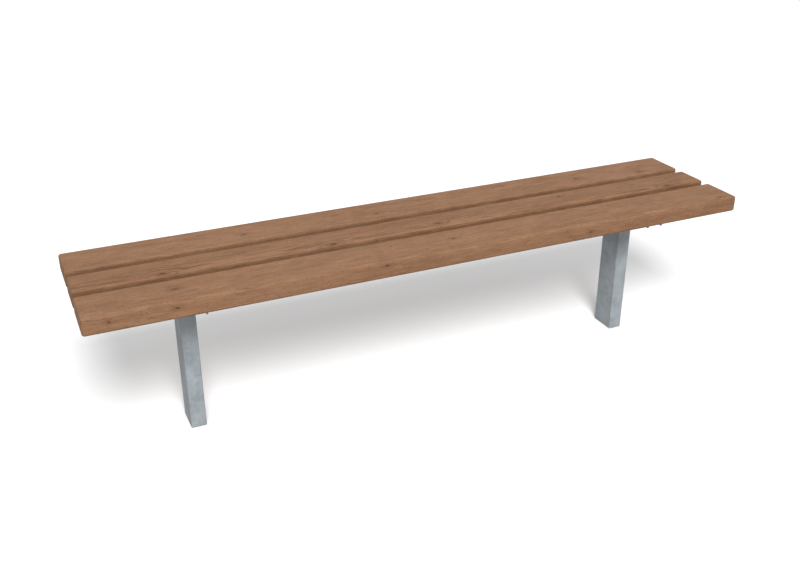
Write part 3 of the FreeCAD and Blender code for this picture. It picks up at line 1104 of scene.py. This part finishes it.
@dataclass(frozen=True)
class Post(Piece):
    """A rectangular tube post with a bevelled top, a deburred foot and an uneven zinc skin.

    Attributes:
        seed: picks the skin's waves.
        wall: the tube's wall.
        corner: its outer corner radius.
        bevel: the weld bevel round its top.
        edge: the radius of its deburred edges.
        skin: how much the zinc's thickness varies.
        height_steps: segments up the tube.
        width_steps: segments across its narrow faces.
        depth_steps: segments across its wide faces.
        corner_steps: segments round each corner.
        edge_steps: segments round a deburred edge, and over the bevel.
    """

    slot: ClassVar[Slot] = Slot.STEEL
    seed: int
    wall: float = 3 * MILLIMETRE
    corner: float = 4 * MILLIMETRE
    bevel: float = 2.5 * MILLIMETRE
    edge: float = 0.6 * MILLIMETRE
    skin: float = 0.18 * MILLIMETRE
    height_steps: int = 90
    width_steps: int = 14
    depth_steps: int = 28
    corner_steps: int = 8
    edge_steps: int = 3

    def section(self, height: float) -> tuple[np.ndarray, np.ndarray]:
        """The wall's own section, as a closed path of heights and insets.

        It turns the foot's outer edge, goes up the outside, over the bevel, down the inside and
        round the foot's inner edge.

        Args:
            height: the post's height.

        Returns:
            Heights and insets, both of shape (rows,).
        """
        foot_inset, foot_z = round_edge(self.edge, self.edge_steps)
        rise = np.linspace(self.edge, height - self.bevel, self.height_steps)[1:]
        bevel = np.linspace(0.0, self.bevel, self.edge_steps + 1)[1:]
        fall = np.linspace(height, self.edge, self.height_steps)
        heights = [foot_z, rise, height - self.bevel + bevel, fall, foot_z[-2::-1]]
        insets = [foot_inset, rise * 0.0, bevel, fall * 0.0 + self.wall]
        insets.append(self.wall - foot_inset[-2::-1])
        return np.concatenate(heights), np.concatenate(insets)

    def build(self) -> bpy.types.Object:
        """Make the tube.

        The tube's outline is carried along its wall's section, then each point sinks into the wall
        by the varying thickness of the zinc.

        Returns:
            The tube.
        """
        low, high = corners_of(self.node)
        half = (high - low) / 2
        steps = (self.width_steps, self.depth_steps, self.corner_steps)
        outline = RoundedRectangle(half[0], half[1], self.corner, *steps)
        z, inset = self.section(high[2] - low[2])
        loops, outward = outline.loop(inset)
        height = np.broadcast_to(z[:, None, None], (*loops.shape[:2], 1))
        points = np.concatenate([loops, height], -1) + np.array([*((low + high) / 2)[:2], low[2]])
        into_wall = np.where(inset < self.wall / 2, -1.0, 1.0)[:, None, None]
        thin = smooth_noise(points * np.array([55.0, 55.0, 22.0]), self.seed)[..., None]
        points[..., :2] += outward * into_wall * self.skin * thin
        return make_object(f"{self.node}_tube", [loft(points, close_rows=True)])


@dataclass(frozen=True)
class FoldedSteel(Piece):
    """What the bearers and cleats share: one sheet, one fold radius, one zinc skin.

    Attributes:
        seed: picks the skin's waves.
        sheet: the steel's thickness.
        bend: the inside radius of its folds.
        screw_hole: the radius of the holes for screws.
        skin: how much the zinc's thickness varies.
    """

    slot: ClassVar[Slot] = Slot.STEEL
    seed: int
    sheet: float = 4 * MILLIMETRE
    bend: float = 2 * MILLIMETRE
    screw_hole: float = 4.5 * MILLIMETRE
    skin: float = 0.15 * MILLIMETRE

    def thin(self, flat: np.ndarray) -> np.ndarray:
        """Draw both skins towards the sheet's middle by the varying thickness of the zinc.

        Args:
            flat: run, along and lift of every point, shape (n, 3).

        Returns:
            The same points with their lifts made smaller.
        """
        waves = smooth_noise(flat * np.array([60.0, 40.0, 300.0]), self.seed)
        share = 1.0 - 2 * self.skin / self.sheet * waves
        return flat * np.stack([np.ones_like(share), np.ones_like(share), share], -1)


@dataclass(frozen=True)
class Bearer(FoldedSteel):
    """A channel, open downwards: its web lies under the planks, a flange each side of the post.

    Attributes:
        screws: the CAD nodes of the screws that pass its web.
        vent: the radius of the hole over the post's hollow, through which hot zinc runs.
        tip: the corner radius at the ends of its flanges.
    """

    screws: tuple[str, ...] = ()
    vent: float = 7 * MILLIMETRE
    tip: float = 2 * MILLIMETRE

    def build(self) -> bpy.types.Object:
        """Cut the blank, then fold both its long sides down.

        Returns:
            The channel.
        """
        low, high = corners_of(self.node)
        centre = (low + high) / 2
        half = (high - low) / 2
        fold = Fold(half[0] - self.bend - self.sheet, self.sheet, self.bend)
        reach = fold.end + 2 * half[2] - self.bend - self.sheet
        holes = [Hole(0.0, 0.0, self.vent)]
        for screw in self.screws:
            holes.append(Hole(0.0, middle_of(screw)[1] - centre[1], self.screw_hole))
        blank = Blank(-reach, reach, half[1], self.tip, self.tip, self.sheet, tuple(holes))
        patches = []
        for flat, faces in blank.patches():
            run, along, lift = self.thin(flat).T
            across, height = fold.turn_down(np.abs(run), lift)
            across = np.sign(run) * across + centre[0]
            level = high[2] - self.sheet / 2
            patches.append((np.stack([across, along + centre[1], height + level], -1), faces))
        return make_object(f"{self.node}_channel", patches)


@dataclass(frozen=True)
class Cleat(FoldedSteel):
    """An angle: one leg down the outside of a flange, the other out under the middle plank.

    Attributes:
        bearer: the CAD node of the bearer that it is welded to.
        screw: the CAD node of the screw that passes its flat leg.
        corner: the corner radius of its free edge.
        tip: the softened corners of the leg on the flange.
        step: the spacing of its points along the fold.
    """

    bearer: str = ""
    screw: str = ""
    corner: float = 5 * MILLIMETRE
    tip: float = 1 * MILLIMETRE
    step: float = 2 * MILLIMETRE

    def build(self) -> bpy.types.Object:
        """Cut the blank, then fold its near end down against the flange.

        Returns:
            The angle.
        """
        low, high = corners_of(self.node)
        centre = (low + high) / 2
        away = np.sign(centre[0] - middle_of(self.bearer)[0])
        flange = low[0] if away > 0 else high[0]
        fold = Fold(0.0, self.sheet, self.bend)
        setback = self.bend + self.sheet
        drop = fold.end + high[2] - low[2] - setback
        flat_leg = high[0] - low[0] - setback
        hole = Hole(setback - abs(middle_of(self.screw)[0] - flange), 0.0, self.screw_hole)
        half_length = (high[1] - low[1]) / 2
        corners = (self.corner, self.tip)
        blank = Blank(
            -flat_leg, drop, half_length, *corners, self.sheet, (hole,), length_step=self.step
        )
        patches = []
        for flat, faces in blank.patches():
            run, along, lift = self.thin(flat).T
            across, height = fold.turn_down(run, lift)
            across = flange + away * (setback - across)
            level = high[2] - self.sheet / 2
            patches.append((np.stack([across, along + centre[1], height + level], -1), faces))
        return make_object(f"{self.node}_angle", patches)


@dataclass(frozen=True)
class WeldBead:
    """A fillet weld along a straight corner between two pieces of steel.

    Attributes:
        start: one end of the corner.
        end: its other end.
        first: the direction away from the corner along one piece.
        second: the direction away from the corner along the other.
        first_leg: how far the bead reaches along the first piece.
        second_leg: how far it reaches along the second.
        root: how far its hidden edge lies behind the corner.
        pitch: the spacing of its ripples.
        swell: how far its face bulges past the straight line between its toes.
        scallop: how deep its ripples are, as a share of its reach.
        wobble: how much its reach changes along it, as a share.
        wobble_pace: its changes per metre.
        ripple_steps: segments along each ripple.
        face_steps: segments across its face.
        seed: picks its wobble.
    """

    start: Point
    end: Point
    first: Point
    second: Point
    first_leg: float
    second_leg: float
    root: float
    seed: int
    pitch: float = 1.9 * MILLIMETRE
    swell: float = 0.22
    scallop: float = 0.09
    wobble: float = 0.24
    wobble_pace: float = 180.0
    ripple_steps: int = 6
    face_steps: int = 12

    def build(self) -> Patch:
        """Work out the bead's surface.

        Across the bead an angle turns from the first piece to the second. The face lies on the
        straight line between the toes, which is one over the sum of the angle's cosine and sine,
        swollen by the sine of twice the angle. Along the bead that reach is scallopped by ripples
        that lead in the middle, wobbles slowly, and closes to nothing on a quarter circle at each
        end. A hidden edge behind the corner closes the section.

        Returns:
            Points and faces.
        """
        start, end, first, second = map(np.array, (self.start, self.end, self.first, self.second))
        length = np.linalg.norm(end - start)
        along = spaced([0.0, length], self.pitch / self.ripple_steps)[:, None]
        turn = np.linspace(0.0, QUARTER_TURN, self.face_steps + 1)[None, :]
        face = (1.0 + self.swell * np.sin(2 * turn)) / (np.cos(turn) + np.sin(turn))
        phase = (along + self.first_leg * 0.5 * np.sin(2 * turn)) / self.pitch
        ripple = 1.0 + self.scallop * (1.0 - (2.0 * (phase - np.floor(phase)) - 1.0) ** 2)
        spots = along * np.array([self.wobble_pace, 0.0, 0.0])
        wobble = 1.0 + self.wobble * (smooth_noise(spots, self.seed)[:, None] - 0.5)
        to_end = np.clip(np.minimum(along, length - along) / self.first_leg, 0.0, 1.0)
        closing = np.sqrt(1.0 - (1.0 - to_end) ** 2)
        reach = (face * ripple * wobble * closing)[..., None]
        spine = (start + (end - start) * along / length)[:, None, :]
        sides = first * self.first_leg * np.cos(turn)[..., None]
        sides = sides + second * self.second_leg * np.sin(turn)[..., None]
        hidden = spine - (first + second) * self.root * np.maximum(closing, 0.05)[..., None]
        return loft(np.concatenate([spine + reach * sides, hidden], 1))


@dataclass(frozen=True)
class Support:
    """The steelwork at one end: a post, its bearer, two cleats and the welds between them.

    Attributes:
        side: which end of the bench it stands at.
        seed: picks its unevenness.
        leg: the usual leg of its welds.
        post_corner: the tube's corner radius, where no weld is run.
        weld_stop: how far a weld on a cleat stops short of the metal's end.
    """

    side: str
    seed: int
    leg: float = 4 * MILLIMETRE
    post_corner: float = 4 * MILLIMETRE
    weld_stop: float = 0.8 * MILLIMETRE

    @property
    def bearer(self) -> str:
        """The bearer's CAD node."""
        return f"{self.side}_bearer"

    def bead(
        self,
        number: int,
        ends: tuple[Point, Point],
        first: Point,
        second: Point,
        legs: tuple[float, float] = (1.0, 1.0),
        root: float = 0.1,
    ) -> Patch:
        """Run one bead along a corner.

        Args:
            number: the bead's number, which changes its wobble.
            ends: the corner's two ends.
            first: the direction away from the corner along one piece.
            second: the direction away from the corner along the other.
            legs: its two legs, as shares of the usual leg.
            root: how far its hidden edge lies behind the corner, as a share of the usual leg.

        Returns:
            The bead's surface.
        """
        sizes = (self.leg * legs[0], self.leg * legs[1], self.leg * root)
        return WeldBead(*ends, first, second, *sizes, self.seed + number).build()

    def post_welds(self) -> list[Patch]:
        """Beads down both sides of the post under the flanges, and across both ends of its top.

        Returns:
            Four beads.
        """
        low, high = corners_of(f"{self.side}_post")
        flange_tip = corners_of(self.bearer)[0][2]
        front, back = low[1] + self.post_corner, high[1] - self.post_corner
        left, right = low[0] + self.post_corner, high[0] - self.post_corner
        down = (0.0, 0.0, -1.0)
        beads = []
        for number, (face, way) in enumerate(((low[0], -1.0), (high[0], 1.0))):
            ends = ((face, front, flange_tip), (face, back, flange_tip))
            beads.append(self.bead(number, ends, (way, 0.0, 0.0), down))
        for number, (face, way) in enumerate(((low[1], -1.0), (high[1], 1.0)), start=2):
            ends = ((left, face, high[2]), (right, face, high[2]))
            beads.append(self.bead(number, ends, (0.0, way, 0.0), down, (1.0, 1.1), 0.25))
        return beads

    def cleat_welds(self, cleat: str) -> list[Patch]:
        """An upright bead at each end of a cleat's leg on the flange.

        Args:
            cleat: the cleat's CAD node.

        Returns:
            Two beads.
        """
        low, high = corners_of(cleat)
        away = float(np.sign(middle_of(cleat)[0] - middle_of(self.bearer)[0]))
        flange = low[0] if away > 0 else high[0]
        foot = low[2] + self.weld_stop
        head = high[2] - self.leg - 2 * self.weld_stop
        beads = []
        for number, (face, way) in enumerate(((low[1], -1.0), (high[1], 1.0)), start=4):
            ends = ((flange, face, foot), (flange, face, head))
            beads.append(self.bead(number, ends, (0.0, way, 0.0), (away, 0.0, 0.0), (0.8, 0.8)))
        return beads

    def build(self) -> list[tuple[Piece | None, bpy.types.Object]]:
        """Make the post, the bearer, the cleats and their welds.

        Returns:
            Each piece, after the maker that can dress it, or after nothing for a weld.
        """
        screws = tuple(
            f"{self.side}_{plank}_screw_{number}" for plank in ("front", "back") for number in (1, 2)
        )
        makers = [Post(f"{self.side}_post", self.seed), Bearer(self.bearer, self.seed, screws=screws)]
        welds = {f"{self.side}_post_welds": self.post_welds()}
        for facing in ("outer", "inner"):
            cleat = f"{self.side}_{facing}_cleat"
            middle_screws = [f"{self.side}_middle_screw_{number}" for number in (1, 2)]
            nearest = min(middle_screws, key=lambda item: gap_between(item, cleat))
            makers.append(Cleat(cleat, self.seed + 1, bearer=self.bearer, screw=nearest))
            welds[f"{cleat}_welds"] = self.cleat_welds(cleat)
        pieces = [(maker, maker.build()) for maker in makers]
        for name, beads in welds.items():
            pieces.append((None, make_object(name, beads, smooth_angle=60.0)))
        return pieces

    def dress(
        self, pieces: list[tuple[Piece | None, bpy.types.Object]], steel: bpy.types.Material
    ) -> None:
        """Galvanise the steelwork.

        Args:
            pieces: each piece, after its maker, or after nothing for a weld.
            steel: the galvanised finish.
        """
        for maker, piece in pieces:
            if maker is None:
                dress(piece, steel)
            else:
                maker.dress(piece, steel)


# ---------------------------------------------------------------------------------------------
# Fasteners
# ---------------------------------------------------------------------------------------------


@dataclass(frozen=True)
class WoodScrew(Piece):
    """A hexagon-head wood screw, head down: forged head, plain shank, coarse thread and point.

    Attributes:
        turn: how far its head is turned, in degrees.
        flats: the head's size across its flats.
        head: the head's height.
        chamfer_start: where the head's chamfer begins, as a share of half the flats.
        chamfer_slope: the chamfer's rise over its run.
        dish: how deep the middle of the head is pressed in.
        dish_width: the dish's width, as a share of the width inside the chamfer.
        shank: the shank's radius, and the thread's.
        core: the radius between the threads.
        plain: the length of the shank without thread.
        pitch: the thread's pitch.
        point: the length of the tapered end.
        point_flat: the radius at its very end.
        columns: segments round it.
        corner_power: how sharp the head's corners are.
    """

    slot: ClassVar[Slot] = Slot.FASTENER
    turn: float
    flats: float = 13 * MILLIMETRE
    head: float = 5.3 * MILLIMETRE
    chamfer_start: float = 0.93
    chamfer_slope: float = math.tan(math.radians(30.0))
    dish: float = 0.3 * MILLIMETRE
    dish_width: float = 0.86
    shank: float = 4 * MILLIMETRE
    core: float = 2.8 * MILLIMETRE
    plain: float = 15 * MILLIMETRE
    pitch: float = 3.2 * MILLIMETRE
    point: float = 6 * MILLIMETRE
    point_flat: float = 0.8 * MILLIMETRE
    columns: int = 48
    corner_power: float = 36.0

    def hexagon(self, angle: np.ndarray) -> np.ndarray:
        """The head's radius at each angle.

        Half the flats, over the power mean of the cosines from its three pairs of flats, which
        rounds the corners a little.

        Args:
            angle: angles round the screw.

        Returns:
            Radii, one for each angle.
        """
        flat_angles = (np.arange(3) + 0.5)[:, None] * math.pi / 3
        cosines = np.abs(np.cos(angle - flat_angles)) ** self.corner_power
        return self.flats / 2 / cosines.sum(0) ** (1.0 / self.corner_power)

    def head_rings(self, angle: np.ndarray) -> tuple[np.ndarray, np.ndarray]:
        """The head: a dished end, a chamfer that rises to the flats, six sides and a flat top.

        Args:
            angle: angles round the screw.

        Returns:
            Radii and heights over the head's end, both of shape (rings, columns).
        """
        sides = self.hexagon(angle)
        rim = self.chamfer_start * self.flats / 2
        shoulder = (sides - rim) * self.chamfer_slope
        inner = np.linspace(0.0, self.dish_width, 5)[:, None] * rim
        dished = self.dish * (1.0 - (inner / (self.dish_width * rim)) ** 2)
        share = np.array([0.0, 0.33, 0.67, 1.0])[:, None]
        radii = [inner + 0 * angle, rim + (sides - rim) * share, np.tile(sides, (3, 1))]
        heights = [dished + 0 * angle, shoulder * share]
        heights.append(shoulder + (self.head - shoulder) * share[1:])
        radii.append(sides + (self.shank - sides) * share[1:])
        heights.append(np.full((3, len(angle)), self.head))
        return np.concatenate(radii), np.concatenate(heights)

    def shank_rings(self, angle: np.ndarray, tip: float) -> tuple[np.ndarray, np.ndarray]:
        """The shank and its thread.

        A thread's ridge stands where the height over the pitch, less the share of a turn, is half
        past a whole number. It grows out of the plain shank, and in the point the ridge and the
        core both shrink towards the flat tip.

        Args:
            angle: angles round the screw.
            tip: the height of the tip over the head's end.

        Returns:
            Radii and heights, both of shape (rings, columns).
        """
        thread_start = self.head + self.plain
        height = spaced([self.head, thread_start], self.pitch)[1:-1]
        height = np.concatenate([height, spaced([thread_start, tip], self.pitch / 10)])[:, None]
        phase = height / self.pitch - angle / (2 * math.pi)
        ridge = np.clip(1.8 - 3.6 * np.abs(phase - np.floor(phase) - 0.5), 0.0, 1.0)
        taper = np.clip((tip - height) / self.point, 0.0, 1.0)
        outer = self.point_flat + (self.shank - self.point_flat) * taper
        inner = np.minimum(self.core, outer * 0.8)
        started = np.clip((height - thread_start) / self.pitch, 0.0, 1.0)
        radius = outer + (inner - outer) * started * (1.0 - ridge)
        end = np.array([[0.0]])
        radii = np.concatenate([radius, end + 0 * angle])
        return radii, np.concatenate([height + 0 * angle, end + tip + 0 * angle])

    def build(self) -> bpy.types.Object:
        """Make the screw as one surface, ring by ring from the middle of its head to its tip.

        Returns:
            The screw.
        """
        low, high = corners_of(self.node)
        angle = np.linspace(0.0, 2 * math.pi, self.columns, endpoint=False)
        head_radii, head_heights = self.head_rings(angle)
        shank_radii, shank_heights = self.shank_rings(angle, high[2] - low[2])
        radius = np.concatenate([head_radii, shank_radii])
        height = np.concatenate([head_heights, shank_heights]) + low[2]
        turned = angle + math.radians(self.turn)
        x = middle_of(self.node)[0] + radius * np.cos(turned)
        y = middle_of(self.node)[1] + radius * np.sin(turned)
        rings = np.stack([x, y, height], -1)
        return make_object(f"{self.node}_threaded", [loft(rings)], smooth_angle=24.0)


@dataclass(frozen=True)
class Washer(Piece):
    """A plain round washer with softened edges.

    Attributes:
        bore: the radius of its hole.
        edge: the radius of its softened edges.
        columns: segments round it.
        section_steps: segments across it, down it and round each softened edge.
    """

    slot: ClassVar[Slot] = Slot.FASTENER
    bore: float = 4.2 * MILLIMETRE
    edge: float = 0.3 * MILLIMETRE
    columns: int = 56
    section_steps: tuple[int, int, int] = (4, 2, 3)

    def build(self) -> bpy.types.Object:
        """Turn a rounded rectangle about the washer's axis.

        Returns:
            The washer.
        """
        low, high = corners_of(self.node)
        centre = (low + high) / 2
        outer = (high[0] - low[0]) / 2
        half = ((outer - self.bore) / 2, centre[2] - low[2])
        section = RoundedRectangle(*half, self.edge, *self.section_steps)
        loop = section.loop(np.zeros(1))[0][0]
        angle = np.linspace(0.0, 2 * math.pi, self.columns, endpoint=False)[:, None]
        radius = (outer + self.bore) / 2 + loop[:, 0]
        x = radius * np.cos(angle)
        y = radius * np.sin(angle)
        rings = np.stack([x, y, np.broadcast_to(loop[:, 1], x.shape)], -1) + centre
        return make_object(f"{self.node}_ring", [loft(rings, close_rows=True)])


def fasteners() -> list[WoodScrew | Washer]:
    """Two screws and washers under each plank at each post, their heads left at uneven turns.

    Returns:
        The fasteners, in the order in which they are driven.
    """
    turn_step = 23.0
    driven: list[WoodScrew | Washer] = []
    places = [(side, plank, number) for side in SIDES for plank in PLANK_NAMES for number in (1, 2)]
    for count, (side, plank, number) in enumerate(places):
        driven.append(Washer(f"{side}_{plank}_washer_{number}"))
        driven.append(WoodScrew(f"{side}_{plank}_screw_{number}", count * turn_step))
    return driven


# ---------------------------------------------------------------------------------------------
# Studio
# ---------------------------------------------------------------------------------------------


@dataclass(frozen=True)
class Studio:
    """The pale floor, the soft light and the camera.

    Attributes:
        floor_half: half the floor's side.
        floor_shade: how much light the floor gives back near the bench.
        far_shade: how much it gives back away from the bench, so that it stays white.
        bounce: the share of that light that reaches the bench rather than the camera.
        near_reach: how far from the bench the floor begins to turn paler.
        far_reach: where it has turned its palest.
        sky: how bright the even light from all round is.
        key: how bright the key light is.
        key_radius: the radius of the key light's disc, which softens its shadow.
        key_distance: how far the key light is from the foot of the bench.
        key_height: the key light's height above the horizon, in degrees.
        key_turn: how far the key light stands to the left of straight ahead, in degrees.
        eye: the camera's place.
        tilt: the camera's turn up from straight down, in degrees.
        pan: its turn about the vertical, in degrees.
        lens: its focal length in millimetres.
        sensor: the width of its sensor in millimetres.
    """

    floor_half: float = 40.0
    floor_shade: float = 0.90
    far_shade: float = 0.97
    bounce: float = 0.55
    near_reach: float = 1.6
    far_reach: float = 4.0
    sky: float = 0.702
    key: float = 10.3
    key_radius: float = 1.25
    key_distance: float = 6.85
    key_height: float = 45.3
    key_turn: float = 15.7
    eye: Point = (-1.0239, -2.1283, 1.4125)
    tilt: float = 64.063
    pan: float = -24.358
    lens: float = 43.33
    sensor: float = 36.0

    def build(self) -> None:
        """Make the floor, the lights and the camera."""
        self.make_floor()
        self.make_sky()
        self.make_key()
        self.make_camera()

    def make_floor(self) -> None:
        """A flat, matt floor at ground height, white further off, seen through from below."""
        reach = np.linspace(-self.floor_half, self.floor_half, 5)
        x, y = np.meshgrid(reach, reach, indexing="ij")
        points = np.stack([x, y, np.zeros_like(x)], -1).reshape(-1, 3)
        mesh = bpy.data.meshes.new("floor")
        mesh.from_pydata(points.tolist(), [], grid_faces(5, 5, False, False)[:, ::-1].tolist())
        floor = bpy.data.objects.new("floor", mesh)
        bpy.context.scene.collection.objects.link(floor)
        graph = Graph(bpy.data.materials.new("floor_paint"))
        distance = graph.vector("LENGTH", graph.place((1.0, 1.0, 0.0))).outputs["Value"]
        paler = graph.fit(distance, self.near_reach, self.far_reach)
        shade = graph.mix(paler, (self.floor_shade,) * 3, (self.far_shade,) * 3)
        dimmed = graph.mix(self.bounce, (0.0, 0.0, 0.0), shade)
        seen = graph.add("LightPath").outputs["Is Camera Ray"]
        paint = graph.add("BsdfDiffuse", {"Color": graph.mix(seen, dimmed, shade)}).outputs[0]
        white = graph.add("Emission").outputs[0]
        whitened = graph.math("MULTIPLY", paler, seen)
        paint = graph.add("MixShader", {0: whitened, 1: paint, 2: white}).outputs[0]
        clear = graph.add("BsdfTransparent").outputs[0]
        below = graph.add("NewGeometry").outputs["Backfacing"]
        surface = graph.add("MixShader", {0: below, 1: paint, 2: clear}).outputs[0]
        graph.add("OutputMaterial", {"Surface": surface})
        mesh.materials.append(graph.owner)

    def make_sky(self) -> None:
        """An even pale light from all round, plain white where the camera sees it."""
        white = (1.0, 1.0, 1.0, 1.0)
        graph = Graph(bpy.data.worlds.new("studio"))
        seen = graph.add("Background", {"Color": white, "Strength": 1.0}).outputs[0]
        lit = graph.add("Background", {"Color": white, "Strength": self.sky}).outputs[0]
        ray = graph.add("LightPath").outputs["Is Camera Ray"]
        blend = graph.add("MixShader", {0: ray, 1: lit, 2: seen}).outputs[0]
        graph.add("OutputWorld", {"Surface": blend})
        bpy.context.scene.world = graph.owner

    def make_key(self) -> None:
        """One wide round light, aimed at the bench, that doesn't fade with distance."""
        light = bpy.data.lights.new("key", "AREA")
        light.shape = "DISK"
        light.size = 2 * self.key_radius
        light.energy = self.key
        graph = Graph(light)
        falloff = graph.add("LightFalloff", {"Strength": 1.0}).outputs["Constant"]
        glow = graph.add("Emission", {"Strength": falloff}).outputs[0]
        graph.add("OutputLight", {"Surface": glow})
        height = math.radians(self.key_height)
        turn = math.radians(self.key_turn)
        lamp = bpy.data.objects.new("key", light)
        lamp.location = (
            -self.key_distance * math.cos(height) * math.sin(turn),
            -self.key_distance * math.cos(height) * math.cos(turn),
            self.key_distance * math.sin(height),
        )
        lamp.rotation_euler = (QUARTER_TURN - height, 0.0, -turn)
        bpy.context.scene.collection.objects.link(lamp)

    def make_camera(self) -> None:
        """The camera, level, with no shift and no depth of field."""
        data = bpy.data.cameras.new("camera")
        data.lens = self.lens
        data.sensor_width = self.sensor
        data.clip_end = 5 * self.floor_half
        camera = bpy.data.objects.new("camera", data)
        camera.location = self.eye
        camera.rotation_euler = (math.radians(self.tilt), 0.0, math.radians(self.pan))
        bpy.context.scene.collection.objects.link(camera)
        bpy.context.scene.camera = camera
        bpy.context.scene.view_settings.view_transform = "Standard"


def main() -> None:
    """Build the studio, then the bench from its seat down to its last screw."""
    logging.basicConfig(level=logging.INFO, format="%(name)s: %(message)s", stream=sys.stdout)
    Studio().build()
    for plank in (front_plank(), middle_plank(), back_plank()):
        plank.dress(plank.build(), plank.timber.build())
    steel = GALVANISED.build()
    for seed, side in ((30, "left"), (50, "right")):
        support = Support(side, seed)
        support.dress(support.build(), steel)
    plating = PLATED.build()
    for fastener in fasteners():
        fastener.dress(fastener.build(), plating)


if __name__ == "__main__":
    main()
